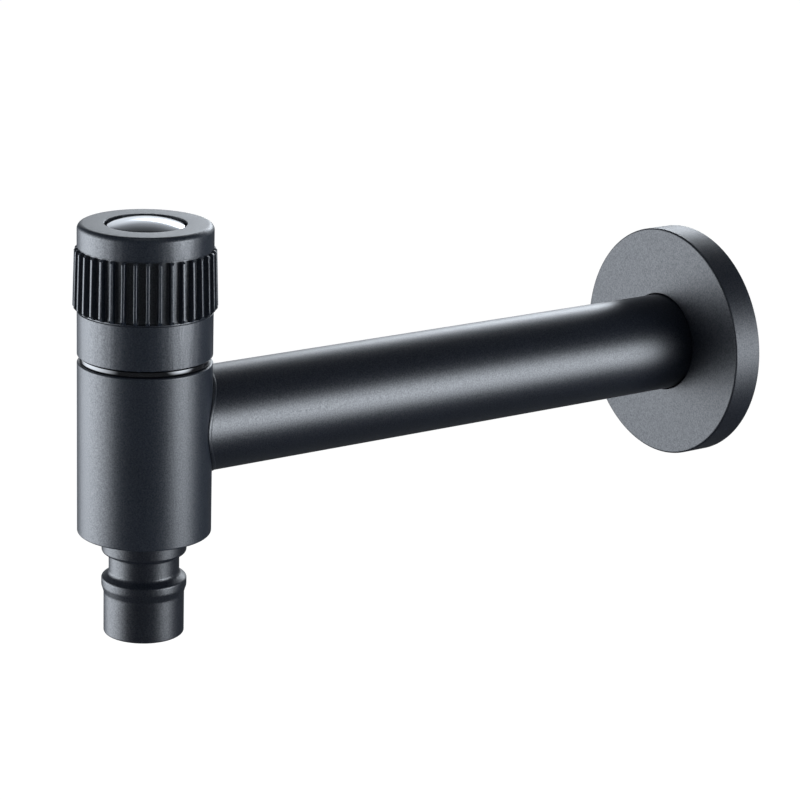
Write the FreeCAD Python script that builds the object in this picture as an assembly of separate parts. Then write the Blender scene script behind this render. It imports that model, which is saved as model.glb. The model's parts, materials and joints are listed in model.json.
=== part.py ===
import FreeCAD, Part
import math
import os

# Wall-mounted garden tap: a rotary knob over an upright valve body, a long round
# arm to the wall, a sliding wall flange and a hose nozzle under the body.
# Millimetres. Z is up, the wall is the plane Y = 0 and the arm runs along -Y.

Vector = FreeCAD.Vector

# Arm and wall
reach = 166.0                    # wall to the upright axis of the head
arm_radius = 12.5
arm_wall = 1.5
cope_gap = 0.05                  # arm end to the body that it is shaped round
socket_gap = 0.05                # radial, spigot or sleeve inside the arm

# Valve body
body_radius = 15.8
body_above = 16.4                # arm axis to the top of the body
body_below = 25.15               # arm axis to the underside of the body
body_edge = 0.4                  # rounding of both ends
spigot_length = 12.0             # past the body, inside the arm
spigot_bore = 7.5                # radius
seat_depth = 9.0                 # arm axis down to the seat ledge
seat_ledge = 4.0                 # thickness of the ledge
seat_hole = 5.5                  # radius

# Inlet
inlet_thread = 10.4775           # radius of a G1/2 pipe thread
inlet_length = 15.0
inlet_shoulder = 1.5             # collar between the arm end and the wall
shoulder_inset = 0.1             # collar smaller than the arm
inlet_sleeve = 11.0              # length inside the arm
inlet_bore = 7.0                 # radius
thread_chamfer = 0.9

# Headwork
head_thread = 10.4775            # radius, G1/2
thread_gap = 0.08                # radial, between male and female threads
head_thread_length = 10.2
barrel_radius = 9.3
barrel_bore = 8.1
barrel_lift = 1.0                # barrel end above the seat ledge
window_height = 4.4
window_sweep = 100.0             # degrees, each of two
window_rise = 0.2                # sill above the moving disc
flange_rim = 13.2                # radius
flange_height = 2.25
hex_flats = 19.0
hex_height = 5.5
neck_radius = 7.5
neck_height = 3.5
rib_width = 1.8                  # keys that hold the fixed disc
rib_depth = 0.9

# Seals and washers of the headwork
seal_height = 2.4
seal_clearance = 0.1
ring_section = 0.75              # radius of the headwork O-ring
ring_pocket = 1.62               # width of its pocket in the body top
ring_slack = 0.2                 # pocket deeper than the ring
washer_height = 0.5
washer_gap = 0.05

# Ceramic discs
disc_gap = 0.02
disc_inset = 0.15                # fixed disc inside the barrel
moving_inset = 0.3               # moving disc inside the barrel
fixed_height = 2.8
moving_height = 2.6
port_inner = 2.4
port_rim = 1.1                   # ceramic left outside each port
port_sweep = 78.0                # degrees, each of two
slot_width = 3.0
slot_depth = 1.2
tongue_gap = 0.1
turn_angle = 90.0                # degrees from shut to open
rib_angle = 0.0                  # keys of the fixed disc, degrees from +X towards +Y
port_angle = 90.0                # its ports and the windows of the barrel

# Spindle
journal_radius = 4.95
journal_gap = 0.05
collar_radius = 7.3
collar_height = 1.6
collar_gap = 0.2                 # window head to the collar
foot_radius = 3.4
ring_groove = 1.1                # depth of the two O-ring grooves
groove_width = 1.6
groove_heights = (10.2, 14.2)    # above the arm axis
groove_clearance = 0.03
tail_depth = 0.3                 # relief above and below the spline
spline_radius = 4.0
spline_root = 3.65
spline_teeth = 20
screw_radius = 2.0
screw_gap = 0.06
screw_depth = 7.0                # tapped depth in the spindle

# Stop ring and circlip
stop_height = 1.0
stop_radius = 7.3
stop_flats = 8.6                 # across the spindle flats that key it
stop_inner = 5.6                 # track in the neck
stop_outer = 7.0
stop_track = 1.5                 # depth of the track
lug_gap = 0.1
lug_sweep = 40.0                 # degrees
lug_play = 1.0                   # degrees at each end
clip_height = 0.9
clip_groove = 0.7                # depth in the spindle
clip_width = 1.8
clip_gap = 0.05
clip_opening = 62.0              # degrees

# Trim ring
trim_radius = 15.2
trim_edge = 0.55                 # bevel above the body
trim_gap = 0.05                  # radial, to the headwork flange
trim_clearance = 0.2             # below the skirt of the knob
trim_lip = 0.65                  # thickness of the lip inside the skirt
trim_lip_rise = 1.0

# Knob
knob_lift = 1.7                  # top of the body to the skirt
knob_height = 31.0
knob_radius = 15.8
knob_edge = 1.3                  # rounding of the top edge
knob_wall = 1.6
knob_roof = 3.5
skirt_chamfer = 0.25
cap_height = 5.7
band_height = 14.5
band_top_radius = 16.45
band_low_radius = 16.85
band_top_bevel = 0.45
band_low_bevel = 0.9
flute_count = 36
flute_start = 1.1                # degrees from +X to the first ridge
ridge_width = 0.8                # between flutes, at the lower end of the band
flute_wall = 0.8                 # between the flat floor of a flute and the hollow
flute_base = 1.8                 # width of the floor
flute_overrun = 0.4              # cutter past the mouth
shadow_depth = 0.3               # fine grooves above and below the band
shadow_width = 0.35
boss_radius = 8.6
boss_clearance = 0.9             # boss above the circlip
insert_flats = 12.0
insert_sides = 8
insert_gap = 0.05
insert_lift = 0.1
web_height = 1.7                 # knob metal under the screw head
screw_pocket = 6.2               # hole over the screw, below the button's recess
recess_radius = 9.55
recess_depth = 2.5
screw_bore = 5.45                # radius of the hole over the screw

# Button
button_radius = 9.0
button_seat = 0.1
button_rim = 0.5                 # rim below the face of the knob
button_crown = 1.2               # dome above the face of the knob
button_edge = 0.25
plug_gap = 0.3
plug_length = 4.4
plug_wall = 1.25
button_ring = 0.45               # section radius
button_ring_gap = 0.03
button_ring_drop = 1.9           # ring below the button

# Knob screw
head_radius = 3.4
head_height = 2.9
key_flats = 3.0
key_depth = 1.7
flat_washer_radius = 4.6
flat_washer_height = 0.8

# Hose nozzle
outlet_thread = 8.329            # radius, G3/8
outlet_thread_length = 10.6
gasket_height = 1.3
gasket_gap = 0.05
collar_out_radius = 10.05
collar_length = 4.85
collar_edge = 0.5                # bevel above the groove
groove_radius = 8.35
groove_length = 5.25
bulge_radius = 10.1
bulge_rise = 1.3                 # cone from the groove to the bulge
bulge_length = 1.8
bulge_fall = 1.7                 # taper from the bulge to the barrel
plug_barrel_radius = 9.55        # enters the hose connector
plug_barrel_length = 10.3
nozzle_edge = 0.5
nozzle_bore = 5.0                # radius
nozzle_mouth = 6.6               # radius
nozzle_mouth_depth = 6.0
nozzle_key_flats = 11.0
nozzle_key_depth = 6.0

# Wall flange
wall_flange_radius = 30.0
wall_flange_depth = 8.0
wall_flange_face = 2.0
wall_flange_rim = 1.6
wall_flange_edge = 0.6
hub_gap = 0.25                   # radial, hub to arm
hub_wall = 3.2
hub_relief = 1.0                 # hub end in front of the wall
hub_ring = 0.75                  # section radius
hub_ring_gap = 0.05

# Heights that follow, all above the arm axis
body_top = body_above
body_end = -body_below
seat = -seat_depth
outlet_top = seat - seat_ledge
fixed_low = seat + seal_height
fixed_top = fixed_low + fixed_height
moving_low = fixed_top + disc_gap
moving_top = moving_low + moving_height
window_low = moving_top + window_rise
window_top = window_low + window_height
collar_low = window_top + collar_gap
collar_top = collar_low + collar_height
washer_low = collar_top + washer_gap
chamber_top = washer_low + washer_height + washer_gap
pocket_low = body_top - 2 * ring_section - ring_slack
thread_low = pocket_low - head_thread_length
rim_top = body_top + flange_height
hex_top = rim_top + hex_height
neck_top = hex_top + neck_height
stop_low = neck_top + washer_gap
stop_top = stop_low + stop_height
clip_low = stop_top + clip_gap
clip_top = clip_low + clip_height
knob_low = body_top + knob_lift
knob_top = knob_low + knob_height
band_top = knob_top - cap_height
band_low = band_top - band_height
recess_low = knob_top - recess_depth
button_low = recess_low + button_seat
web_top = recess_low - screw_pocket
web_low = web_top - web_height
insert_top = web_low - insert_lift
spindle_top = insert_top - insert_lift
spline_low = clip_top + clip_gap + tail_depth
boss_low = clip_top + boss_clearance
screw_seat = web_top + flat_washer_height
nozzle_end = (body_end - collar_length - groove_length - bulge_rise - bulge_length
              - bulge_fall - plug_barrel_length)

# Radii that follow
arm_bore = arm_radius - arm_wall
spigot_radius = arm_bore - socket_gap
head_bore = head_thread + thread_gap
neck_bore = journal_radius + journal_gap
outlet_bore = outlet_thread + thread_gap
knob_bore = knob_radius - knob_wall
flute_floor = knob_bore + flute_wall
hub_bore = arm_radius + hub_gap


def head_point(radius, height):
    return Vector(radius, -reach, height)


def arm_point(radius, distance):
    return Vector(radius, distance, 0)


# A corner of an outline, as the edges that replace it. A third number bevels the
# corner by that much along both sides, and "round" after it makes it an arc instead.
def corner(before, here, after, place):
    at = place(here[0], here[1])
    if len(here) < 3:
        return at, at, []
    back = place(before[0], before[1]).sub(at).normalize()
    ahead = place(after[0], after[1]).sub(at).normalize()
    size = here[2]
    if here[-1] != "round":
        start = at.add(back * size)
        end = at.add(ahead * size)
        return start, end, [Part.LineSegment(start, end).toShape()]
    half = back.getAngle(ahead) / 2
    run = size / math.tan(half)
    depth = size / math.sin(half) - size
    start = at.add(back * run)
    end = at.add(ahead * run)
    middle = at.add(back.add(ahead).normalize() * depth)
    return start, end, [Part.Arc(start, middle, end).toShape()]


# Closed wire through the points of an outline.
def outline_wire(points, place):
    count = len(points)
    corners = []
    for i in range(count):
        corners.append(corner(points[i - 1], points[i], points[(i + 1) % count], place))
    edges = []
    for i in range(count):
        end = corners[i][1]
        following = corners[(i + 1) % count][0]
        edges.extend(corners[i][2])
        edges.append(Part.LineSegment(end, following).toShape())
    return Part.Wire(edges)


def turned(points, place, axis):
    face = Part.Face(outline_wire(points, place))
    return face.revolve(place(0, 0), axis, 360)


# Turned about the upright axis of the head, from (radius, height) points.
def head_turned(points):
    return turned(points, head_point, Vector(0, 0, 1))


# Turned about the axis of the arm, from (radius, Y) points.
def arm_turned(points):
    return turned(points, arm_point, Vector(0, 1, 0))


def head_ring(inner, outer, low, high):
    return head_turned([(inner, low), (outer, low), (outer, high), (inner, high)])


def head_rod(radius, low, high):
    return Part.makeCylinder(radius, high - low, head_point(0, low))


# Part of a ring about the head axis. Angles are in degrees from +X towards +Y.
def head_sector(inner, outer, middle, sweep, low, high):
    upward = Vector(0, 0, 1)
    base = head_point(0, low)
    height = high - low
    wedge = Part.makeCylinder(outer, height, base, upward, sweep)
    wedge.rotate(base, upward, middle - sweep / 2)
    return wedge.cut(Part.makeCylinder(inner, height, base, upward))


def extruded(points, low, high):
    corners = [head_point(0, low).add(Vector(x, y, 0)) for x, y in points]
    corners.append(corners[0])
    face = Part.Face(Part.makePolygon(corners))
    return face.extrude(Vector(0, 0, high - low))


# Upright prism about the head axis, with so many sides, measured across its flats.
def head_prism(sides, flats, low, high):
    corner_radius = flats / 2 / math.cos(math.pi / sides)
    points = []
    for i in range(sides):
        angle = 2 * math.pi * (i + 0.5) / sides
        points.append((corner_radius * math.cos(angle), corner_radius * math.sin(angle)))
    return extruded(points, low, high)


# Toothed prism about the head axis.
def head_spline(outer, root, low, high):
    points = []
    for i in range(2 * spline_teeth):
        radius = root if i % 2 else outer
        angle = math.pi * i / spline_teeth
        points.append((radius * math.cos(angle), radius * math.sin(angle)))
    return extruded(points, low, high)


def head_bar(length, width, low, high, angle):
    base = head_point(0, low)
    bar = Part.makeBox(length, width, high - low, base.add(Vector(-length / 2, -width / 2, 0)))
    bar.rotate(base, Vector(0, 0, 1), angle)
    return bar


# Outline of a rubber ring in its groove: flat where it is squeezed, with the four
# corners of a regular octagon between.
def rubber_outline(inner, outer, middle):
    half = (outer - inner) / 2
    bevel = (2 - math.sqrt(2)) * half
    return [(inner, middle - half, bevel), (outer, middle - half, bevel),
            (outer, middle + half, bevel), (inner, middle + half, bevel)]


def valve_body():
    barrel = head_turned([
        (0, body_end), (body_radius, body_end, body_edge),
        (body_radius, body_top, body_edge), (0, body_top)])
    spigot_end = body_radius + spigot_length
    spigot = Part.makeCylinder(spigot_radius, spigot_end, head_point(0, 0), Vector(0, 1, 0))
    port = Part.makeCylinder(spigot_bore, spigot_end, head_point(0, 0), Vector(0, 1, 0))
    body = barrel.fuse(spigot)
    for hollow in (
            port,
            head_rod(head_bore, seat, body_top),
            head_rod(head_thread + ring_pocket, pocket_low, body_top),
            head_rod(seat_hole, outlet_top, seat),
            head_rod(outlet_bore, body_end, outlet_top)):
        body = body.cut(hollow)
    return body.removeSplitter()


def arm_tube():
    back = -inlet_shoulder
    tube = arm_turned([
        (arm_bore, -reach), (arm_radius, -reach), (arm_radius, back), (arm_bore, back)])
    cope = head_rod(body_radius + cope_gap, -2 * arm_radius, 2 * arm_radius)
    pieces = tube.cut(cope).Solids
    return max(pieces, key=lambda piece: piece.CenterOfMass.y)


def inlet_nipple():
    sleeve_end = -inlet_shoulder - inlet_sleeve
    collar = arm_radius - shoulder_inset
    return arm_turned([
        (inlet_bore, sleeve_end), (spigot_radius, sleeve_end),
        (spigot_radius, -inlet_shoulder), (collar, -inlet_shoulder), (collar, 0),
        (inlet_thread, 0), (inlet_thread, inlet_length - thread_chamfer),
        (inlet_thread - thread_chamfer, inlet_length), (inlet_bore, inlet_length)])


def stop_track_cut():
    sweep = turn_angle + lug_sweep + 2 * lug_play
    return head_sector(stop_inner, stop_outer, turn_angle / 2, sweep,
                       neck_top - stop_track, neck_top)


def headwork_body():
    low = seat + barrel_lift
    turned_part = head_turned([
        (barrel_bore, low), (barrel_radius, low), (barrel_radius, thread_low),
        (head_thread, thread_low), (head_thread, body_top), (flange_rim, body_top),
        (flange_rim, rim_top), (neck_radius, rim_top), (neck_radius, neck_top),
        (neck_bore, neck_top), (neck_bore, chamber_top), (barrel_bore, chamber_top)])
    hexagon = head_prism(6, hex_flats, rim_top, hex_top)
    hexagon = hexagon.cut(head_rod(neck_radius, rim_top, hex_top))
    body = turned_part.fuse(hexagon)
    rib_inner = barrel_bore - rib_depth
    for half_turn in (0, 180):
        rib = head_sector(rib_inner, barrel_bore, rib_angle + half_turn, rib_sweep(),
                          low, fixed_top - disc_gap)
        body = body.fuse(rib)
        window = head_sector(rib_inner, head_thread, port_angle + half_turn, window_sweep,
                             window_low, window_top)
        body = body.cut(window)
    body = body.cut(stop_track_cut())
    return body.removeSplitter()


def rib_sweep():
    return math.degrees(rib_width / barrel_bore)


def headwork_o_ring():
    height = pocket_low + ring_section
    radius = head_thread + ring_pocket / 2
    return head_turned(rubber_outline(radius - ring_section, radius + ring_section, height))


def seat_seal():
    outer = barrel_bore - seal_clearance
    step = barrel_bore - rib_depth - seal_clearance
    ring = head_ring(seat_hole, outer, seat, seat + barrel_lift - seal_clearance)
    return ring.fuse(head_ring(seat_hole, step, seat, fixed_low)).removeSplitter()


# Two opposite ports through a disc, centred on the given angle.
def disc_ports(disc, radius, angle, low, high):
    for half_turn in (0, 180):
        port = head_sector(port_inner, radius - port_rim, angle + half_turn, port_sweep, low, high)
        disc = disc.cut(port)
    return disc


def fixed_disc():
    radius = barrel_bore - disc_inset
    disc = head_rod(radius, fixed_low, fixed_top)
    notch_sweep = rib_sweep() + 2 * math.degrees(disc_inset / barrel_bore)
    for half_turn in (0, 180):
        notch = head_sector(barrel_bore - rib_depth - disc_inset, barrel_bore,
                            rib_angle + half_turn, notch_sweep, fixed_low, fixed_top)
        disc = disc.cut(notch)
    return disc_ports(disc, radius - rib_depth, port_angle, fixed_low, fixed_top)


def moving_disc():
    radius = barrel_bore - moving_inset
    disc = head_rod(radius, moving_low, moving_top)
    disc = disc_ports(disc, radius - rib_depth, port_angle - turn_angle, moving_low, moving_top)
    slot = head_bar(2 * barrel_bore, slot_width, moving_top - slot_depth, moving_top, turn_angle)
    return disc.cut(slot)


def spindle():
    groove_floor = journal_radius - ring_groove
    clip_floor = journal_radius - clip_groove
    tail_radius = spline_root - tail_depth
    shaft = head_turned([
        (0, moving_top), (foot_radius, moving_top), (foot_radius, collar_low),
        (collar_radius, collar_low), (collar_radius, collar_top),
        (journal_radius, collar_top), (journal_radius, clip_low - clip_gap),
        (clip_floor, clip_low - clip_gap), (clip_floor, clip_top + clip_gap),
        (tail_radius, clip_top + clip_gap), (tail_radius, spline_low), (0, spline_low)])
    tongue_length = 2 * (barrel_bore - moving_inset) - 2 * tongue_gap
    tongue_width = slot_width - 2 * tongue_gap
    tongue_low = moving_top - slot_depth + tongue_gap
    tongue = head_bar(tongue_length, tongue_width, tongue_low, moving_top + window_rise, turn_angle)
    shaft = shaft.fuse(tongue.common(head_rod(tongue_length / 2, tongue_low, window_low)))
    shaft = shaft.fuse(head_spline(spline_radius, spline_root, spline_low, spindle_top))
    for height in groove_heights:
        shaft = shaft.cut(head_ring(groove_floor, journal_radius + journal_gap,
                                    height - groove_width / 2, height + groove_width / 2))
    flats = head_rod(journal_radius + journal_gap, stop_low, stop_top)
    flats = flats.cut(head_bar(stop_flats, 2 * stop_radius, stop_low, stop_top, 0))
    tapped = head_rod(screw_radius + screw_gap, spindle_top - screw_depth, spindle_top)
    return shaft.cut(flats).cut(tapped).removeSplitter()


def spindle_o_rings():
    inner = journal_radius - ring_groove + groove_clearance
    outer = neck_bore - groove_clearance
    return Part.makeCompound(
        [head_turned(rubber_outline(inner, outer, height)) for height in groove_heights])


def slip_washer():
    return head_ring(neck_bore, collar_radius, washer_low, washer_low + washer_height)


def stop_ring():
    ring = head_rod(stop_radius, stop_low, stop_top)
    hole = head_rod(neck_bore, stop_low, stop_top)
    hole = hole.common(head_bar(stop_flats + 2 * journal_gap, 2 * stop_radius,
                                stop_low, stop_top, 0))
    lug = head_sector(stop_inner + lug_gap, stop_outer - lug_gap, 0, lug_sweep,
                      neck_top - stop_track + lug_gap, stop_low)
    return ring.cut(hole).fuse(lug).removeSplitter()


def circlip():
    inner = journal_radius - clip_groove + clip_gap
    outer = inner + clip_width
    return head_sector(inner, outer, 90, 360 - clip_opening, clip_low, clip_top)


def trim_ring():
    inner = flange_rim + trim_gap
    top = knob_low - trim_clearance
    lip_top = top + trim_lip_rise
    return head_turned([
        (inner, body_top), (trim_radius, body_top, trim_edge), (trim_radius, top),
        (inner + trim_lip, top), (inner + trim_lip, lip_top), (inner, lip_top)])


# Cutter of one flat-floored flute, parallel to the head axis. Its mouth is as wide as
# the pitch of the flutes less one ridge.
def flute():
    mouth = 2 * math.pi * band_low_radius / flute_count - ridge_width
    slope = (mouth - flute_base) / (band_low_radius - flute_floor)
    outer = band_low_radius + flute_overrun
    points = []
    for radius, side in ((flute_floor, -1), (outer, -1), (outer, 1), (flute_floor, 1)):
        width = flute_base + slope * (radius - flute_floor)
        points.append((radius, side * width / 2))
    return extruded(points, band_low, band_top)


def flutes():
    cutter = flute()
    cutters = []
    for i in range(flute_count):
        turned_cutter = cutter.copy()
        angle = flute_start + 360 * (i + 0.5) / flute_count
        turned_cutter.rotate(head_point(0, 0), Vector(0, 0, 1), angle)
        cutters.append(turned_cutter)
    return cutters


def grip_band():
    return head_turned([
        (knob_bore, band_low), (band_low_radius, band_low, band_low_bevel),
        (band_top_radius, band_top, band_top_bevel), (knob_bore, band_top)])


# Fine groove that sets the grip band off from the cap and from the skirt.
def shadow_groove(low):
    return head_ring(knob_radius - shadow_depth, band_low_radius, low, low + shadow_width)


def knob():
    outer = head_turned([
        (0, knob_low), (knob_radius, knob_low, skirt_chamfer),
        (knob_radius, knob_top, knob_edge, "round"), (0, knob_top)])
    shell = outer.fuse(grip_band()).cut(flutes())
    for hollow in (
            shadow_groove(band_top),
            shadow_groove(band_low - shadow_width),
            head_ring(boss_radius, knob_bore, knob_low, knob_top - knob_roof),
            head_rod(boss_radius, knob_low, boss_low),
            head_prism(insert_sides, insert_flats + 2 * insert_gap, boss_low, web_low),
            head_rod(screw_radius + screw_gap, web_low, web_top),
            head_rod(screw_bore, web_top, recess_low),
            head_rod(recess_radius, recess_low, knob_top)):
        shell = shell.cut(hollow)
    return shell.removeSplitter()


def spline_insert():
    block = head_prism(insert_sides, insert_flats, boss_low, insert_top)
    hole = head_spline(spline_radius + insert_gap, spline_root + insert_gap, boss_low, insert_top)
    return block.cut(hole)


def knob_screw():
    head_top = screw_seat + head_height
    tip = spindle_top - screw_depth + screw_radius
    shank = head_rod(screw_radius, tip, screw_seat)
    screw = shank.fuse(head_rod(head_radius, screw_seat, head_top))
    return screw.cut(head_prism(6, key_flats, head_top - key_depth, head_top))


def screw_washer():
    return head_ring(screw_radius + screw_gap, flat_washer_radius, web_top, screw_seat)


# Dome of the button, a spherical cap on a short straight rim.
def index_button():
    rim = knob_top - button_rim
    crown = button_rim + button_crown
    sphere_radius = (button_radius ** 2 + crown ** 2) / (2 * crown)
    sphere_height = rim + crown - sphere_radius
    cap = Part.makeSphere(sphere_radius, head_point(0, sphere_height))
    cap = cap.common(head_rod(button_radius, rim, rim + crown))
    disc = head_turned([
        (0, button_low), (button_radius, button_low, button_edge), (button_radius, rim), (0, rim)])
    plug_radius = screw_bore - plug_gap
    plug_low = button_low - plug_length
    plug = head_ring(plug_radius - plug_wall, plug_radius, plug_low, button_low)
    groove_floor = screw_bore - 2 * button_ring - 2 * button_ring_gap
    ring_height = button_low - button_ring_drop
    groove = head_ring(groove_floor, screw_bore, ring_height - button_ring,
                       ring_height + button_ring)
    return disc.fuse(cap).fuse(plug).cut(groove).removeSplitter()


def button_o_ring():
    outer = screw_bore - button_ring_gap
    return head_turned(rubber_outline(outer - 2 * button_ring, outer, button_low - button_ring_drop))


def hose_nozzle():
    collar_end = body_end - collar_length
    groove_end = collar_end - groove_length
    bulge_start = groove_end - bulge_rise
    bulge_end = bulge_start - bulge_length
    barrel_start = bulge_end - bulge_fall
    spigot_top = body_end + outlet_thread_length
    key_low = nozzle_end + nozzle_mouth_depth
    nozzle = head_turned([
        (nozzle_bore, key_low), (nozzle_mouth, key_low),
        (nozzle_mouth, nozzle_end, nozzle_edge), (plug_barrel_radius, nozzle_end, nozzle_edge),
        (plug_barrel_radius, barrel_start), (bulge_radius, bulge_end, nozzle_edge),
        (bulge_radius, bulge_start, nozzle_edge), (groove_radius, groove_end),
        (groove_radius, collar_end), (collar_out_radius, collar_end, collar_edge),
        (collar_out_radius, body_end), (outlet_thread, body_end), (outlet_thread, spigot_top),
        (nozzle_bore, spigot_top)])
    return nozzle.cut(head_prism(6, nozzle_key_flats, key_low, key_low + nozzle_key_depth))


def nozzle_gasket():
    low = body_end + outlet_thread_length + gasket_gap
    return head_ring(seat_hole, outlet_thread, low, low + gasket_height)


def wall_flange():
    front = -wall_flange_depth
    face_back = front + wall_flange_face
    rim_bore = wall_flange_radius - wall_flange_rim
    hub_radius = hub_bore + hub_wall
    plate = arm_turned([
        (hub_bore, front), (wall_flange_radius, front, wall_flange_edge),
        (wall_flange_radius, 0), (rim_bore, 0), (rim_bore, face_back),
        (hub_radius, face_back), (hub_radius, -hub_relief), (hub_bore, -hub_relief)])
    middle = hub_middle()
    pocket = hub_pocket()
    groove = arm_turned([
        (arm_radius, middle - hub_ring), (pocket, middle - hub_ring),
        (pocket, middle + hub_ring), (arm_radius, middle + hub_ring)])
    return plate.cut(groove)


def hub_middle():
    return -(wall_flange_depth + hub_relief) / 2


def hub_pocket():
    return arm_radius + 2 * hub_ring + 2 * hub_ring_gap


def flange_o_ring():
    inner = arm_radius + hub_ring_gap
    return arm_turned(rubber_outline(inner, inner + 2 * hub_ring, hub_middle()))


pieces = {
    "valve_body": valve_body,
    "arm_tube": arm_tube,
    "inlet_nipple": inlet_nipple,
    "headwork_body": headwork_body,
    "headwork_o_ring": headwork_o_ring,
    "seat_seal": seat_seal,
    "fixed_disc": fixed_disc,
    "moving_disc": moving_disc,
    "spindle": spindle,
    "spindle_o_rings": spindle_o_rings,
    "slip_washer": slip_washer,
    "stop_ring": stop_ring,
    "circlip": circlip,
    "trim_ring": trim_ring,
    "knob": knob,
    "spline_insert": spline_insert,
    "knob_screw": knob_screw,
    "screw_washer": screw_washer,
    "index_button": index_button,
    "button_o_ring": button_o_ring,
    "hose_nozzle": hose_nozzle,
    "nozzle_gasket": nozzle_gasket,
    "wall_flange": wall_flange,
    "flange_o_ring": flange_o_ring,
}

os.makedirs("parts", exist_ok=True)
for name, make in pieces.items():
    make().exportStep("parts/" + name + ".step")
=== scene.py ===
import json
import math

import bmesh
import bpy
from mathutils import Matrix, Vector


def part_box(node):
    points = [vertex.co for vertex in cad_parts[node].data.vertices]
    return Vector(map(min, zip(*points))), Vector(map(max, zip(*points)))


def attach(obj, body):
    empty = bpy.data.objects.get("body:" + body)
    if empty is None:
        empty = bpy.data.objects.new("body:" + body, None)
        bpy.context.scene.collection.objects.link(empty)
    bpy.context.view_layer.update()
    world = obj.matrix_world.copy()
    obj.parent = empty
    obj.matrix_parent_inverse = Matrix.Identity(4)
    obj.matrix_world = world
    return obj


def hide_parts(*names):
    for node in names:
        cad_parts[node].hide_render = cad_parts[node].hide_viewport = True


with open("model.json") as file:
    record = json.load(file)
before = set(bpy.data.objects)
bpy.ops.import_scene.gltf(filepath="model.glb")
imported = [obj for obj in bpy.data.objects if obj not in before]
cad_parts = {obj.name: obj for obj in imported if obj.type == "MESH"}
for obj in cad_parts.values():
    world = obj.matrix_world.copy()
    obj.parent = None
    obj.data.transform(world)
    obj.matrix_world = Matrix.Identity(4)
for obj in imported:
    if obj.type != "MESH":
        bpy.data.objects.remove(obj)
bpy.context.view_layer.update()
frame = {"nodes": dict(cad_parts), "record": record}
scene = bpy.context.scene
mm = 0.001


# Places that the whole tap is built from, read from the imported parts, in millimetres
def boxInMm(node):
    low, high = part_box(node)
    return low / mm, high / mm


bodyLow, bodyHigh = boxInMm("valve_body")
knobLow, knobHigh = boxInMm("knob")
buttonLow, buttonHigh = boxInMm("index_button")
trimLow, trimHigh = boxInMm("trim_ring")
nozzleLow, nozzleHigh = boxInMm("hose_nozzle")
flangeLow, flangeHigh = boxInMm("wall_flange")
inletLow, inletHigh = boxInMm("inlet_nipple")
armBack = boxInMm("arm_tube")[1].y
headY = bodyLow.y + bodyHigh.x   # the body is round, and its spigot reaches back to the arm
print("frame read, head axis at", round(headY, 2))


# Direction toward a place at an azimuth, counted from the front, and an elevation, in degrees
def directionTo(azimuth, elevation):
    around, rise = math.radians(azimuth), math.radians(elevation)
    return Vector((math.sin(around) * math.cos(rise), -math.cos(around) * math.cos(rise),
                   math.sin(rise)))


# The photograph's viewpoint, in degrees and metres, with its lens in millimetres
cameraSetup = dict(
    azimuth=53.998, elevation=16.353, roll=1.784, distance=0.726128,
    aim=(0, -0.092435, -0.003887), lens=131.428, sensor=36, nearClip=0.01,
)


def buildCamera():
    s = cameraSetup
    back = directionTo(s["azimuth"], s["elevation"])
    right = directionTo(s["azimuth"] + 90, 0)
    up = back.cross(right)
    roll = math.radians(s["roll"])
    rolledRight = right * math.cos(roll) + up * math.sin(roll)
    rolledUp = up * math.cos(roll) - right * math.sin(roll)
    data = bpy.data.cameras.new("photoCamera")
    data.lens = s["lens"]
    data.sensor_width = s["sensor"]
    data.clip_start = s["nearClip"]
    camera = bpy.data.objects.new("photoCamera", data)
    scene.collection.objects.link(camera)
    turn = Matrix((rolledRight, rolledUp, back)).transposed().to_4x4()
    place = Vector(s["aim"]) + back * s["distance"]
    camera.matrix_world = Matrix.Translation(place) @ turn
    scene.camera = camera


buildCamera()
print("camera placed")


# Node helpers for finishes, lamps and backdrop
def objectNoise(tree, scale, detail=2):
    place = tree.nodes.new("ShaderNodeTexCoord")
    noise = tree.nodes.new("ShaderNodeTexNoise")
    noise.inputs["Scale"].default_value = scale
    noise.inputs["Detail"].default_value = detail
    tree.links.new(place.outputs["Object"], noise.inputs["Vector"])
    return noise.outputs["Fac"]


def spread(tree, source, low, high):
    ramp = tree.nodes.new("ShaderNodeMapRange")
    ramp.inputs["To Min"].default_value = low
    ramp.inputs["To Max"].default_value = high
    tree.links.new(source, ramp.inputs["Value"])
    return ramp.outputs["Result"]


# Goes smoothly from low to high while the source goes from start to end
def smoothRange(tree, source, start, end, low=0, high=1):
    ramp = tree.nodes.new("ShaderNodeMapRange")
    ramp.interpolation_type = "SMOOTHSTEP"
    ramp.inputs["From Min"].default_value = start
    ramp.inputs["From Max"].default_value = end
    ramp.inputs["To Min"].default_value = low
    ramp.inputs["To Max"].default_value = high
    tree.links.new(source, ramp.inputs["Value"])
    return ramp.outputs["Result"]


def colourBetween(tree, source, dark, pale, start=0.3, end=0.7):
    ramp = tree.nodes.new("ShaderNodeValToRGB")
    ramp.color_ramp.elements[0].position = start
    ramp.color_ramp.elements[1].position = end
    ramp.color_ramp.elements[0].color = (*dark, 1)
    ramp.color_ramp.elements[1].color = (*pale, 1)
    tree.links.new(source, ramp.inputs["Fac"])
    return ramp.outputs["Color"]


def mathNode(tree, operation, *values):
    node = tree.nodes.new("ShaderNodeMath")
    node.operation = operation
    for socket, value in zip(node.inputs, values):
        if isinstance(value, (int, float)):
            socket.default_value = value
        else:
            tree.links.new(value, socket)
    return node.outputs[0]


def vectorNode(tree, operation, source, other=(0, 0, 0)):
    node = tree.nodes.new("ShaderNodeVectorMath")
    node.operation = operation
    node.inputs[1].default_value = other
    tree.links.new(source, node.inputs[0])
    return node


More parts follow.
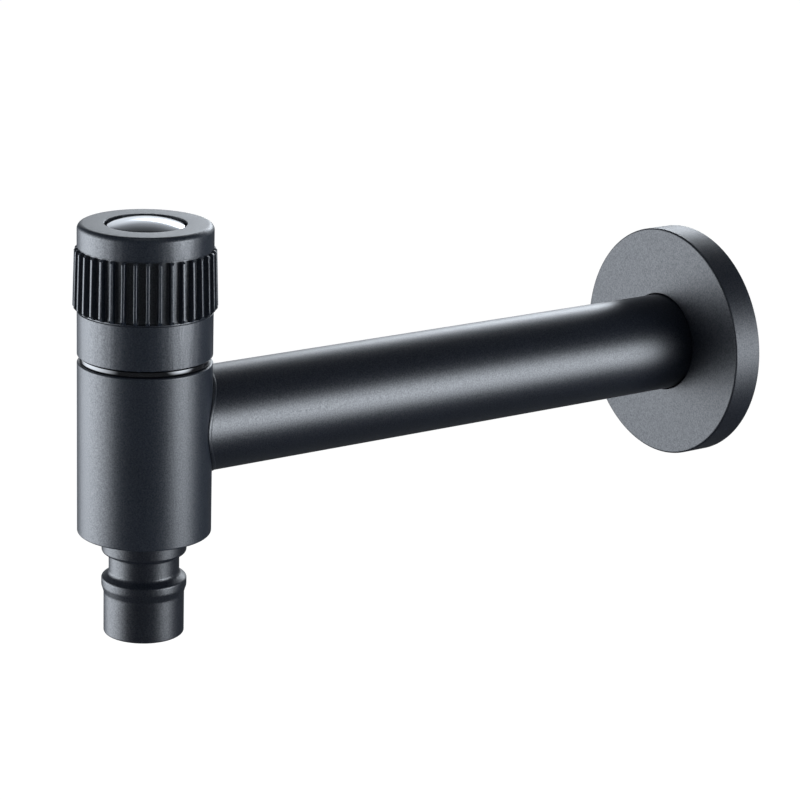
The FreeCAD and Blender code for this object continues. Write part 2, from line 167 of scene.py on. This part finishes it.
# One finish from its own dictionary: two tones, a span of roughness and a fine grain
def finishMaterial(name, finish):
    material = bpy.data.materials.new(name)
    material.use_nodes = True
    tree = material.node_tree
    tree.nodes.clear()
    output = tree.nodes.new("ShaderNodeOutputMaterial")
    shader = tree.nodes.new("ShaderNodeBsdfPrincipled")
    tree.links.new(shader.outputs["BSDF"], output.inputs["Surface"])
    shader.inputs["Metallic"].default_value = finish.get("metallic", 0)
    shader.inputs["IOR"].default_value = finish.get("ior", 1.5)
    shader.inputs["Coat Weight"].default_value = finish.get("coat", 0)
    tone = objectNoise(tree, finish["toneScale"], detail=3)
    grain = objectNoise(tree, finish["grainScale"])
    tree.links.new(colourBetween(tree, tone, finish["dark"], finish["pale"]),
                   shader.inputs["Base Color"])
    tree.links.new(spread(tree, grain, *finish["roughness"]), shader.inputs["Roughness"])
    if "sparkle" in finish:   # a fine unevenness of the sheen, as on powder coating
        tree.links.new(spread(tree, grain, *finish["sparkle"]),
                       shader.inputs["Specular IOR Level"])
    bump = tree.nodes.new("ShaderNodeBump")
    bump.inputs["Strength"].default_value = finish["grainStrength"]
    bump.inputs["Distance"].default_value = finish["grainDepth"]
    tree.links.new(grain, bump.inputs["Height"])
    tree.links.new(bump.outputs["Normal"], shader.inputs["Normal"])
    return material


# Black coating of arm and nozzle, the flange duller. Body and knob take a paler copy of the same
# black: painted light that lifts their shade, as in the knob's flutes.
satinFinish = dict(
    dark=(0.0022, 0.0042, 0.0096), pale=(0.0032, 0.0056, 0.012),
    toneScale=90, grainScale=2800, grainStrength=0.65, grainDepth=0.00003,
    roughness=(0.34, 0.4), ior=1.8, sparkle=(0.1, 0.9),
)
headPaintedLightFinish = dict(satinFinish, dark=(0.0068, 0.0108, 0.0186), pale=(0.0084, 0.0128, 0.0218))
flangeFinish = dict(satinFinish, roughness=(0.41, 0.47), toneScale=60, ior=1.7)
glossFinish = dict(
    dark=(0.004, 0.004, 0.005), pale=(0.006, 0.006, 0.007),
    toneScale=60, grainScale=900, grainStrength=0.02, grainDepth=0.00001,
    roughness=(0.05, 0.08), ior=1.9, coat=0.6,
)
chromeFinish = dict(
    dark=(0.6, 0.61, 0.64), pale=(0.68, 0.69, 0.72),
    toneScale=120, grainScale=1500, grainStrength=0.03, grainDepth=0.00001,
    roughness=(0.05, 0.1), metallic=1,
)
brassFinish = dict(
    dark=(0.56, 0.38, 0.14), pale=(0.7, 0.5, 0.22),
    toneScale=300, grainScale=2500, grainStrength=0.15, grainDepth=0.00002,
    roughness=(0.22, 0.36), metallic=1,
)
steelFinish = dict(
    brassFinish, dark=(0.45, 0.45, 0.46), pale=(0.6, 0.6, 0.61), roughness=(0.2, 0.34),
)
ceramicFinish = dict(
    dark=(0.74, 0.71, 0.66), pale=(0.82, 0.8, 0.76),
    toneScale=200, grainScale=3000, grainStrength=0.05, grainDepth=0.00001,
    roughness=(0.18, 0.28),
)
nylonFinish = dict(
    dark=(0.72, 0.72, 0.7), pale=(0.8, 0.8, 0.78),
    toneScale=150, grainScale=2200, grainStrength=0.1, grainDepth=0.00002,
    roughness=(0.4, 0.5),
)
rubberFinish = dict(
    dark=(0.008, 0.008, 0.008), pale=(0.014, 0.014, 0.014),
    toneScale=200, grainScale=3500, grainStrength=0.2, grainDepth=0.00003,
    roughness=(0.5, 0.62),
)

satinBlack = finishMaterial("satinBlack", satinFinish)
# the paler copy for body and knob is painted light on their shade, not a different coating
satinHeadPaintedLight = finishMaterial("satinHeadPaintedLight", headPaintedLightFinish)
satinFlange = finishMaterial("satinFlange", flangeFinish)
glossBlack = finishMaterial("glossBlack", glossFinish)
chromePlate = finishMaterial("chromePlate", chromeFinish)
turnedBrass = finishMaterial("turnedBrass", brassFinish)
stainlessSteel = finishMaterial("stainlessSteel", steelFinish)
lappedCeramic = finishMaterial("lappedCeramic", ceramicFinish)
whiteNylon = finishMaterial("whiteNylon", nylonFinish)
blackRubber = finishMaterial("blackRubber", rubberFinish)
slotMaterials = dict(
    satin_black=satinBlack, gloss_black=glossBlack, chrome=chromePlate, raw_brass=turnedBrass,
    steel=stainlessSteel, ceramic=lappedCeramic, white_plastic=whiteNylon,
    black_rubber=blackRubber,
)
print("finishes made for", len(slotMaterials), "slots")


# The inner parts keep their CAD shape and take a finish from their slot
def dressFrameParts():
    for part in frame["record"]["subparts"]:
        mesh = frame["nodes"][part["node"]].data
        mesh.materials.clear()
        mesh.materials.append(slotMaterials[part["material_slot"]])


dressFrameParts()
print("frame parts dressed")


# Mesh helpers. An outline is a list of (radius, place along the axis) in millimetres, and
# a third number rounds that corner.
def roundedOutline(points, arcSteps=6):
    path = []
    for i, point in enumerate(points):
        corner = Vector(point[:2])
        if len(point) < 3:
            path.append(corner)
            continue
        radius = point[2]
        back = (Vector(points[i - 1][:2]) - corner).normalized()
        ahead = (Vector(points[(i + 1) % len(points)][:2]) - corner).normalized()
        half = back.angle(ahead) / 2
        centre = corner + (back + ahead).normalized() * (radius / math.sin(half))
        start = corner + back * (radius / math.tan(half)) - centre
        end = corner + ahead * (radius / math.tan(half)) - centre
        sweep = math.atan2(start.x * end.y - start.y * end.x, start.dot(end))
        for k in range(arcSteps + 1):
            path.append(centre + Matrix.Rotation(sweep * k / arcSteps, 2) @ start)
    return path


def evenAngles(steps):
    return [2 * math.pi * k / steps for k in range(steps)]


def at(value, angle):   # a plain number, or a function of the angle
    return value(angle) if callable(value) else value


# Closed rings of points round the head's axis and round the arm's
def headRing(radius, height, angles):
    ring = []
    for angle in angles:
        r = at(radius, angle)
        ring.append(Vector((r * math.cos(angle), headY + r * math.sin(angle), height)) * mm)
    return ring


def armRing(radius, along, angles):
    ring = []
    for angle in angles:
        r = at(radius, angle)
        ring.append(Vector((r * math.cos(angle), at(along, angle), r * math.sin(angle))) * mm)
    return ring


def outlineRings(makeRing, outline, angles, arcSteps=6):
    return [makeRing(p.x, p.y, angles) for p in roundedOutline(outline, arcSteps)]


# Skins a stack of rings into one piece, with crisp edges kept and the rest smooth. Points
# that meet, such as those of a ring on the axis, become one.
def ringPiece(name, rings, material, closed=True, sharpAngle=34, meetWithin=1e-7):
    steps = len(rings[0])
    points = [point for ring in rings for point in ring]
    faces = []
    for i in range(len(rings) if closed else len(rings) - 1):
        a = i * steps
        b = (i + 1) % len(rings) * steps
        for k in range(steps):
            m = (k + 1) % steps
            faces.append((a + k, a + m, b + m, b + k))
    mesh = bpy.data.meshes.new(name)
    mesh.from_pydata(points, [], faces)
    work = bmesh.new()
    work.from_mesh(mesh)
    bmesh.ops.remove_doubles(work, verts=work.verts, dist=meetWithin)
    bmesh.ops.recalc_face_normals(work, faces=work.faces)
    work.to_mesh(mesh)
    work.free()
    mesh.shade_smooth()
    mesh.set_sharp_from_angle(angle=math.radians(sharpAngle))
    mesh.materials.append(material)
    piece = bpy.data.objects.new(name, mesh)
    scene.collection.objects.link(piece)
    even = piece.modifiers.new("evenShading", "WEIGHTED_NORMAL")
    even.keep_sharp = True
    return piece


def turnedPiece(makeRing, name, outline, material, steps=192, closed=True, arcSteps=6):
    rings = outlineRings(makeRing, outline, evenAngles(steps), arcSteps)
    return ringPiece(name, rings, material, closed)


# Puts a finished piece on its body, in place of its CAD part
def fit(piece, body, node):
    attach(piece, body)
    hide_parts(node)


# Valve body: a round barrel, bored from both ends down to the seat
bodyShape = dict(
    edge=0.4, outletEdge=0.15, headBore=10.56, pocketRadius=12.1, pocketDepth=1.7,
    seatTop=-9.0, seatUnder=-13.0, seatHole=5.5, outletBore=8.41,
)


def buildBody():
    s = bodyShape
    radius = bodyHigh.x
    top, low = bodyHigh.z, bodyLow.z
    pocketFloor = top - s["pocketDepth"]
    outline = [
        (s["outletBore"], low, s["outletEdge"]), (radius, low, s["edge"]),
        (radius, top, s["edge"]), (s["pocketRadius"], top), (s["pocketRadius"], pocketFloor),
        (s["headBore"], pocketFloor), (s["headBore"], s["seatTop"]),
        (s["seatHole"], s["seatTop"]), (s["seatHole"], s["seatUnder"]),
        (s["outletBore"], s["seatUnder"]),
    ]
    piece = turnedPiece(headRing, "tapBody", outline, satinHeadPaintedLight)
    fit(piece, "valve", "valve_body")


buildBody()


# Spigot of the body, soldered into the arm. It begins inside the body's wall.
spigotShape = dict(outer=10.95, bore=7.5, edge=0.5, root=2.0, steps=96)


def buildSpigot():
    s = spigotShape
    start, end = headY + bodyHigh.x - s["root"], bodyHigh.y
    outline = [(s["bore"], start), (s["outer"], start), (s["outer"], end, s["edge"]),
               (s["bore"], end, s["edge"])]
    piece = turnedPiece(armRing, "bodySpigot", outline, turnedBrass, s["steps"])
    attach(piece, "valve")


buildSpigot()
print("body and spigot built")


# Arm: a tube whose end is shaped round the body, with the soldered joint's low bead
armShape = dict(
    outer=12.5, bore=11.0, seatGap=0.05, beadWidth=1.0, beadHeight=0.16, beadSteps=8,
    behindBead=0.5, backEdge=0.3, runs=14, steps=224,
)


def buildArm():
    s = armShape
    angles = evenAngles(s["steps"])
    outer, bore = s["outer"], s["bore"]
    seat = bodyHigh.x + s["seatGap"]

    # Place along the arm where a line at this radius meets the round body
    def coped(radius, beyond=0):
        def along(angle):
            return headY + beyond + math.sqrt(seat ** 2 - (radius * math.cos(angle)) ** 2)
        return along

    rings = [armRing(bore, coped(bore), angles)]
    for k in range(s["beadSteps"] + 1):
        turn = math.pi * k / s["beadSteps"]
        radius = outer + s["beadHeight"] * math.sin(turn)
        beyond = s["beadWidth"] * (1 - math.cos(turn)) / 2
        rings.append(armRing(radius, coped(radius, beyond), angles))
    start = headY + seat + s["beadWidth"] + s["behindBead"]
    end = armBack - s["backEdge"]
    for k in range(s["runs"] + 1):
        rings.append(armRing(outer, start + (end - start) * k / s["runs"], angles))
    rings.append(armRing(outer - s["backEdge"], armBack, angles))
    rings.append(armRing(bore, armBack, angles))
    piece = ringPiece("armTube", rings, satinBlack)
    fit(piece, "valve", "arm_tube")


buildArm()
print("arm built")


# Helical thread as a radius that depends on the angle and the place along its axis
threadFlat = 0.12   # share of each flank's run that is flat, at the crest and at the root


def threadRadius(s, place, angle):
    phase = (place / s["pitch"] - angle / (2 * math.pi)) % 1
    flank = (abs(phase * 2 - 1) - threadFlat) / (1 - 2 * threadFlat)
    return s["major"] - s["depth"] * min(1, max(0, flank))


# Rings of a thread that rises out of its undercut and runs out at its end
def threadRings(makeRing, s, start, end, angles):
    rings = []
    rows = round((end - start) / s["pitch"] * s["rowsPerTurn"])
    for row in range(rows + 1):
        place = start + (end - start) * row / rows
        limit = min(s["major"] - s["lead"] + (end - place),
                    s["major"] - s["depth"] + (place - start) * s["entrySlope"])

        def radius(angle, place=place, limit=limit):
            return min(limit, threadRadius(s, place, angle))

        rings.append(makeRing(radius, place, angles))
    return rings


# Inlet nipple: sleeve in the arm, collar, and a G1/2 thread
inletShape = dict(
    sleeve=10.95, bore=7.0, edge=0.4, collar=12.4, collarBack=-1.5, collarEdge=0.2,
    major=10.4775, depth=1.1, pitch=1.814, lead=1.1, entrySlope=2, undercut=0.9,
    rowsPerTurn=14, steps=128, sharpAngle=50,
)


def buildInlet():
    s = inletShape
    angles = evenAngles(s["steps"])
    low, end = inletLow.y, inletHigh.y
    outline = [
        (s["bore"], low, s["edge"]), (s["sleeve"], low, s["edge"]),
        (s["sleeve"], s["collarBack"]), (s["collar"], s["collarBack"], s["collarEdge"]),
        (s["collar"], 0, s["collarEdge"]), (s["major"] - s["depth"], 0),
    ]
    rings = outlineRings(armRing, outline, angles, arcSteps=4)
    rings += threadRings(armRing, s, s["undercut"], end, angles)
    rings.append(armRing(s["bore"] + s["edge"], end, angles))
    rings.append(armRing(s["bore"], end - s["edge"], angles))
    piece = ringPiece("inletNipple", rings, turnedBrass, sharpAngle=s["sharpAngle"])
    fit(piece, "valve", "inlet_nipple")


buildInlet()
print("inlet thread cut")


# Wall flange: flat face, fine rounded rim, hollow behind, hub with a ring groove
flangeShape = dict(
    faceThick=2.0, rim=1.6, edge=0.55, rearEdge=0.2, hollowRound=0.5, hubBore=12.75,
    hubRadius=15.95, hubRelief=1.0, mouthEdge=0.2, grooveMiddle=-4.5, grooveHalf=0.75,
    grooveRadius=14.1, steps=288,
)


def buildFlange():
    s = flangeShape
    front = flangeLow.y
    faceBack = front + s["faceThick"]
    outer, inner = flangeHigh.x, flangeHigh.x - s["rim"]
    hubBack = -s["hubRelief"]
    grooveBack = s["grooveMiddle"] + s["grooveHalf"]
    grooveFront = s["grooveMiddle"] - s["grooveHalf"]
    outline = [
        (s["hubBore"], front, s["mouthEdge"]), (outer, front, s["edge"]),
        (outer, 0, s["rearEdge"]), (inner, 0, s["rearEdge"]),
        (inner, faceBack, s["hollowRound"]), (s["hubRadius"], faceBack, s["hollowRound"]),
        (s["hubRadius"], hubBack, s["rearEdge"]), (s["hubBore"], hubBack, s["rearEdge"]),
        (s["hubBore"], grooveBack), (s["grooveRadius"], grooveBack),
        (s["grooveRadius"], grooveFront), (s["hubBore"], grooveFront),
    ]
    piece = turnedPiece(armRing, "wallRosette", outline, satinFlange, s["steps"])
    fit(piece, "rosette", "wall_flange")


buildFlange()
print("wall flange built")


# Hose nozzle: collar, groove, bulge and plug barrel, hexagon in the bore, G3/8 spigot
nozzleShape = dict(
    collarRadius=10.05, collarLength=5.15, collarEdge=0.8, collarTopEdge=0.2,
    grooveRadius=8.35, grooveLength=5.1, grooveTopRound=0.8, grooveLowRound=1.2,
    bulgeRadius=10.1, bulgeLength=1.85, rise=1.2, fall=1.75, bulgeTopRound=0.6,
    bulgeLowRound=1.8, barrelRadius=9.55, barrelRound=2.0, edge=0.45,
    mouth=6.6, mouthDepth=6.0, bore=5.0, keyFlats=11.0, keyDepth=6.0,
    major=8.329, depth=0.85, pitch=1.337, lead=0.8, entrySlope=2, undercut=0.8,
    rowsPerTurn=12, steps=192, sharpAngle=40,
)


def hexagonRadius(flats):
    third = math.pi / 3
    return lambda angle: flats / 2 / math.cos((angle + third / 2) % third - third / 2)


def buildNozzle():
    s = nozzleShape
    angles = evenAngles(s["steps"])
    body, top, end = bodyLow.z, nozzleHigh.z, nozzleLow.z
    collarLow = body - s["collarLength"]
    grooveLow = collarLow - s["grooveLength"]
    bulgeTop = grooveLow - s["rise"]
    bulgeLow = bulgeTop - s["bulgeLength"]
    barrelTop = bulgeLow - s["fall"]
    keyLow = end + s["mouthDepth"]
    keyTop = keyLow + s["keyDepth"]
    outline = [
        (s["mouth"], keyLow), (s["mouth"], end, s["edge"]),
        (s["barrelRadius"], end, s["edge"]), (s["barrelRadius"], barrelTop, s["barrelRound"]),
        (s["bulgeRadius"], bulgeLow, s["bulgeLowRound"]),
        (s["bulgeRadius"], bulgeTop, s["bulgeTopRound"]),
        (s["grooveRadius"], grooveLow, s["grooveLowRound"]),
        (s["grooveRadius"], collarLow, s["grooveTopRound"]),
        (s["collarRadius"], collarLow, s["collarEdge"]),
        (s["collarRadius"], body, s["collarTopEdge"]), (s["major"] - s["depth"], body),
    ]
    rings = outlineRings(headRing, outline, angles)
    rings += threadRings(headRing, s, body + s["undercut"], top, angles)
    hexagon = hexagonRadius(s["keyFlats"])
    for radius, height in ((s["bore"], top), (s["bore"], keyTop), (hexagon, keyTop),
                           (hexagon, keyLow)):
        rings.append(headRing(radius, height, angles))
    piece = ringPiece("hoseNozzle", rings, satinBlack, sharpAngle=s["sharpAngle"])
    fit(piece, "valve", "hose_nozzle")


buildNozzle()
print("hose nozzle built")


# Glossy ring in the gap under the knob, with a thin lip inside the skirt
trimShape = dict(
    inner=13.25, lip=0.65, lipRise=1.15, lipEdge=0.1, topEdge=0.12, lowEdge=0.55, arcSteps=8,
)


def buildTrim():
    s = trimShape
    outer, lip = trimHigh.x, s["inner"] + s["lip"]
    top = trimHigh.z - s["lipRise"]
    outline = [
        (s["inner"], trimLow.z), (outer, trimLow.z, s["lowEdge"]), (outer, top, s["topEdge"]),
        (lip, top), (lip, trimHigh.z, s["lipEdge"]), (s["inner"], trimHigh.z),
    ]
    piece = turnedPiece(headRing, "glossRing", outline, glossBlack, arcSteps=s["arcSteps"])
    fit(piece, "valve", "trim_ring")


buildTrim()
print("gloss ring built")


# Knob: plain cap and skirt with a fluted grip band between two fine grooves
knobShape = dict(
    radius=15.8, wall=1.6, roof=3.5, topRise=0.1, topEdge=1.35, skirtEdge=0.2,
    capHeight=5.7, bandHeight=14.5, bandTop=16.45, bandLow=16.85, topBevel=0.45, lowBevel=0.9,
    flutes=36, firstRidge=1.1, ridge=0.8, ridgeRound=0.26, draft=0.06, fluteFloor=15.0,
    footRound=0.2, grooveDepth=0.3, grooveWidth=0.35, lowGrooveEdge=0.15, topGrooveEdge=0.12,
    recess=9.55, recessDepth=2.5, recessEdge=0.12, screwBore=5.45, pocket=6.2, web=1.7,
    screwHole=2.06, insertRadius=6.35, bossRadius=8.6, bossLow=30.55,
    lowRows=4, plainRows=8, topRows=3, sharpAngle=38,
)


# Section of the band from the middle of a ridge to the middle of a flute, as a list of
# (distance along the band, share of the ridge's height)
def ridgeSection():
    s = knobShape
    half = s["ridge"] / 2
    height = s["bandLow"] - s["fluteFloor"]
    reach = math.pi * s["bandLow"] / s["flutes"]
    outline = [(0, height), (half, height, s["ridgeRound"]),
               (half + s["draft"], 0, s["footRound"]), (reach, 0)]
    return [(p.x, p.y / height) for p in roundedOutline(outline, arcSteps=5)]


# Share of the ridge's height at each angle round the knob
def bandShares():
    s = knobShape
    right = [(x / s["bandLow"], share) for x, share in ridgeSection()]
    left = [(-angle, share) for angle, share in right[1:-1]]
    start = math.radians(s["firstRidge"])
    pitch = 2 * math.pi / s["flutes"]
    return {start + pitch * k + angle: share
            for k in range(s["flutes"]) for angle, share in left[::-1] + right}


# Rows of the band from its low end up, as (height, radius that its bevels allow)
def bandRows(low, top):
    s = knobShape
    lowBevel, topBevel = s["lowBevel"], s["topBevel"]
    plain = s["bandHeight"] - lowBevel - topBevel
    rows = []
    for k in range(s["lowRows"] + 1):
        share = k / s["lowRows"]
        rows.append((low + lowBevel * share, s["bandLow"] - lowBevel * (1 - share)))
    for k in range(1, s["plainRows"]):
        rows.append((low + lowBevel + plain * k / s["plainRows"], s["bandLow"]))
    for k in range(s["topRows"] + 1):
        share = k / s["topRows"]
        rows.append((top - topBevel * (1 - share), s["bandTop"] - topBevel * share))
    return rows


def buildKnob():
    s = knobShape
    shares = bandShares()
    angles = list(shares)
    radius, bore = s["radius"], s["radius"] - s["wall"]
    inGroove = radius - s["grooveDepth"]
    low, top = knobLow.z, knobHigh.z + s["topRise"]
    bandTop = knobHigh.z - s["capHeight"]
    bandLow = bandTop - s["bandHeight"]
    skirtTop, capLow = bandLow - s["grooveWidth"], bandTop + s["grooveWidth"]
    recessFloor, roof = knobHigh.z - s["recessDepth"], knobHigh.z - s["roof"]
    webTop = recessFloor - s["pocket"]
    webLow = webTop - s["web"]
    skirt = [
        (bore, low), (radius, low, s["skirtEdge"]), (radius, skirtTop, s["lowGrooveEdge"]),
        (inGroove, skirtTop),
    ]
    cap = [
        (inGroove, capLow), (radius, capLow, s["topGrooveEdge"]), (radius, top, s["topEdge"]),
        (s["recess"], top, s["recessEdge"]), (s["recess"], recessFloor),
    ]
    inside = [
        (s["screwBore"], recessFloor), (s["screwBore"], webTop), (s["screwHole"], webTop),
        (s["screwHole"], webLow), (s["insertRadius"], webLow), (s["insertRadius"], s["bossLow"]),
        (s["bossRadius"], s["bossLow"]), (s["bossRadius"], roof), (bore, roof),
    ]
    rings = outlineRings(headRing, skirt, angles, arcSteps=4)
    rings.append(headRing(inGroove, bandLow, angles))
    for z, limit in bandRows(bandLow, bandTop):
        taper = (z - bandLow) / s["bandHeight"]
        depth = s["bandLow"] + (s["bandTop"] - s["bandLow"]) * taper - s["fluteFloor"]

        def fluted(angle, depth=depth, limit=limit):
            return min(limit, s["fluteFloor"] + depth * shares[angle])

        rings.append(headRing(fluted, z, angles))
    rings.append(headRing(inGroove, bandTop, angles))
    rings += outlineRings(headRing, cap, angles, arcSteps=8)
    rings += outlineRings(headRing, inside, angles)
    piece = ringPiece("turnKnob", rings, satinHeadPaintedLight, sharpAngle=s["sharpAngle"])
    fit(piece, "handle", "knob")


buildKnob()
print("knob built")


# Chrome button: plain dome in the recess, on a hollow plug that grips the screw hole
buttonShape = dict(
    radius=9.0, rimBelow=0.5, edge=0.22, underEdge=0.15, plug=5.15, plugBore=3.9,
    plugLength=4.4, groove=4.49, grooveHalf=0.45, ringDrop=1.9,
    domeRows=14, rimRoom=0.04, steps=160,
)


def buildButton():
    s = buttonShape
    crownTop, plugLow = buttonHigh.z, buttonLow.z
    rim = knobHigh.z + knobShape["topRise"] - s["rimBelow"]
    seat = plugLow + s["plugLength"]
    grooveLow = seat - s["ringDrop"] - s["grooveHalf"]
    grooveTop = seat - s["ringDrop"] + s["grooveHalf"]
    outline = [
        (0, seat), (s["plugBore"], seat), (s["plugBore"], plugLow), (s["plug"], plugLow),
        (s["plug"], grooveLow), (s["groove"], grooveLow), (s["groove"], grooveTop),
        (s["plug"], grooveTop), (s["plug"], seat), (s["radius"], seat, s["underEdge"]),
        (s["radius"], rim, s["edge"]),
    ]
    crown = crownTop - rim
    sphere = (s["radius"] ** 2 + crown ** 2) / (2 * crown)
    reach = math.asin(s["radius"] / sphere)
    for k in range(1, s["domeRows"] + 1):
        angle = reach * (1 - k / s["domeRows"])
        if k == 1:   # leaves room for the rounded rim
            angle *= 1 - s["rimRoom"]
        outline.append((sphere * math.sin(angle), crownTop - sphere * (1 - math.cos(angle))))
    piece = turnedPiece(headRing, "domeButton", outline, chromePlate, s["steps"], closed=False)
    fit(piece, "handle", "index_button")


buildButton()
print("button built")


# Soft boxes round the tap. Each has its turn from the camera's side and its elevation in
# degrees, and its distance and size in metres.
lamps = dict(
    leftLamp=dict(turn=-92, elevation=-6, distance=1.1, width=2.8, height=1.9, radiance=5.7),
    rightLamp=dict(turn=70, elevation=-1, distance=1.2, width=1.5, height=1.35, radiance=8.7),
    topLamp=dict(turn=10, elevation=82, distance=1.2, width=0.9, height=0.9, radiance=0.8),
    rearLamp=dict(turn=168, elevation=20, distance=1.3, width=1.2, height=0.5, radiance=9.2),
)
lampTint = (0.86, 0.92, 1)
lampAim = Vector((0, -0.12, 0))


def fromCameraSide(turn, elevation):
    return directionTo(cameraSetup["azimuth"] + turn, elevation)


# Each box is brightest at its middle and fades smoothly to nothing at its edges
def buildLamp(name, setup):
    data = bpy.data.lights.new(name, "AREA")
    data.shape = "RECTANGLE"
    data.size = setup["width"]
    data.size_y = setup["height"]
    data.energy = setup["radiance"] * math.pi * setup["width"] * setup["height"]
    data.color = lampTint
    data.use_nodes = True
    tree = data.node_tree
    place = tree.nodes.new("ShaderNodeNewGeometry").outputs["Parametric"]
    fromMiddle = vectorNode(tree, "SUBTRACT", place, (0.5, 0.5, 0)).outputs["Vector"]
    reach = vectorNode(tree, "LENGTH", fromMiddle).outputs["Value"]
    tree.links.new(smoothRange(tree, reach, 0, 0.5, 1, 0),
                   tree.nodes["Emission"].inputs["Strength"])
    lamp = bpy.data.objects.new(name, data)
    scene.collection.objects.link(lamp)
    direction = fromCameraSide(setup["turn"], setup["elevation"])
    lamp.location = lampAim + direction * setup["distance"]
    lamp.rotation_euler = direction.to_track_quat("Z", "Y").to_euler()
    lamp.visible_camera = False


for lampName, lampSetup in lamps.items():
    buildLamp(lampName, lampSetup)
print("lamps placed")


# Backdrop: white for the camera. Reflections see it white behind the tap, on the side
# away from the photograph's viewpoint, and the darker room round it.
backdropSetup = dict(
    turn=166, innerCosine=0.96, outerCosine=0.7, white=1.2,
    # (height of the direction, share of the white), where 0 is level and 1 straight up
    rises=((-0.14, 0.03), (0.08, 0.9), (0.34, 1.0), (0.52, 0.32), (0.65, 0.1), (0.76, 0.0)),
    room=0.04, roomLow=0.06, roomRise=0.4,
    ambient=0.3, tint=(0.88, 0.94, 1),   # the light that fills the soft shade
)


def buildBackdrop():
    s = backdropSetup
    world = bpy.data.worlds.new("studio")
    scene.world = world
    world.use_nodes = True
    tree = world.node_tree
    tree.nodes.clear()
    direction = tree.nodes.new("ShaderNodeTexCoord").outputs["Generated"]
    parts = tree.nodes.new("ShaderNodeSeparateXYZ")
    tree.links.new(direction, parts.inputs[0])
    height = parts.outputs["Z"]
    level = vectorNode(tree, "MULTIPLY", direction, (1, 1, 0)).outputs["Vector"]
    ahead = vectorNode(tree, "NORMALIZE", level).outputs["Vector"]
    middle = fromCameraSide(s["turn"], 0)
    toward = vectorNode(tree, "DOT_PRODUCT", ahead, middle).outputs["Value"]
    around = smoothRange(tree, toward, s["outerCosine"], s["innerCosine"])
    ramp = tree.nodes.new("ShaderNodeValToRGB")
    stops = ramp.color_ramp.elements
    while len(stops) < len(s["rises"]):
        stops.new(0.5)
    for stop, (rise, share) in zip(stops, s["rises"]):
        stop.position = (rise + 1) / 2
        stop.color = (share, share, share, 1)
    tree.links.new(mathNode(tree, "MULTIPLY_ADD", height, 0.5, 0.5), ramp.inputs["Fac"])
    behind = mathNode(tree, "MULTIPLY", around, ramp.outputs["Color"])
    room = smoothRange(tree, height, 0, s["roomRise"], s["roomLow"], s["room"])
    reflected = mathNode(tree, "MULTIPLY_ADD", behind, s["white"], room)
    path = tree.nodes.new("ShaderNodeLightPath")
    sharp = mathNode(tree, "MAXIMUM", path.outputs["Is Glossy Ray"],
                     path.outputs["Is Transmission Ray"])
    soft = mathNode(tree, "SUBTRACT", 1, sharp)
    seen = mathNode(tree, "MULTIPLY", reflected, sharp)
    filled = mathNode(tree, "MULTIPLY_ADD", soft, s["ambient"], seen)
    strength = mathNode(tree, "MAXIMUM", filled, path.outputs["Is Camera Ray"])
    background = tree.nodes.new("ShaderNodeBackground")
    tree.links.new(colourBetween(tree, path.outputs["Is Camera Ray"], s["tint"], (1, 1, 1)),
                   background.inputs["Color"])
    tree.links.new(strength, background.inputs["Strength"])
    output = tree.nodes.new("ShaderNodeOutputWorld")
    tree.links.new(background.outputs["Background"], output.inputs["Surface"])


buildBackdrop()
print("backdrop hung")


# Floor far below, since the tap hangs on a wall. It is white for the camera and keeps
# a share of its own shading, so that the shadow stays.
floorSetup = dict(
    height=-0.62, radius=6.0, steps=96, colour=(0.86, 0.86, 0.86), speckle=1.03,
    speckleScale=40, ownShade=0.15, white=1.15,
)


def buildFloor():
    s = floorSetup
    material = bpy.data.materials.new("paleFloor")
    material.use_nodes = True
    tree = material.node_tree
    tree.nodes.clear()
    diffuse = tree.nodes.new("ShaderNodeBsdfDiffuse")
    pale = tuple(c * s["speckle"] for c in s["colour"])
    tree.links.new(colourBetween(tree, objectNoise(tree, s["speckleScale"]), s["colour"], pale),
                   diffuse.inputs["Color"])
    glow = tree.nodes.new("ShaderNodeEmission")
    glow.inputs["Strength"].default_value = s["white"]
    path = tree.nodes.new("ShaderNodeLightPath")
    share = mathNode(tree, "MULTIPLY", path.outputs["Is Camera Ray"], 1 - s["ownShade"])
    mix = tree.nodes.new("ShaderNodeMixShader")
    output = tree.nodes.new("ShaderNodeOutputMaterial")
    tree.links.new(share, mix.inputs["Fac"])
    tree.links.new(diffuse.outputs["BSDF"], mix.inputs[1])
    tree.links.new(glow.outputs["Emission"], mix.inputs[2])
    tree.links.new(mix.outputs["Shader"], output.inputs["Surface"])
    rim = [Vector((s["radius"] * math.cos(a), s["radius"] * math.sin(a), s["height"]))
           for a in evenAngles(s["steps"])]
    mesh = bpy.data.meshes.new("studioFloor")
    mesh.from_pydata(rim, [], [tuple(range(len(rim)))])
    mesh.materials.append(material)
    floor = bpy.data.objects.new("studioFloor", mesh)
    floor.visible_glossy = False   # reflections take the backdrop instead
    scene.collection.objects.link(floor)


buildFloor()
scene.view_settings.view_transform = "Standard"
print("studio ready")
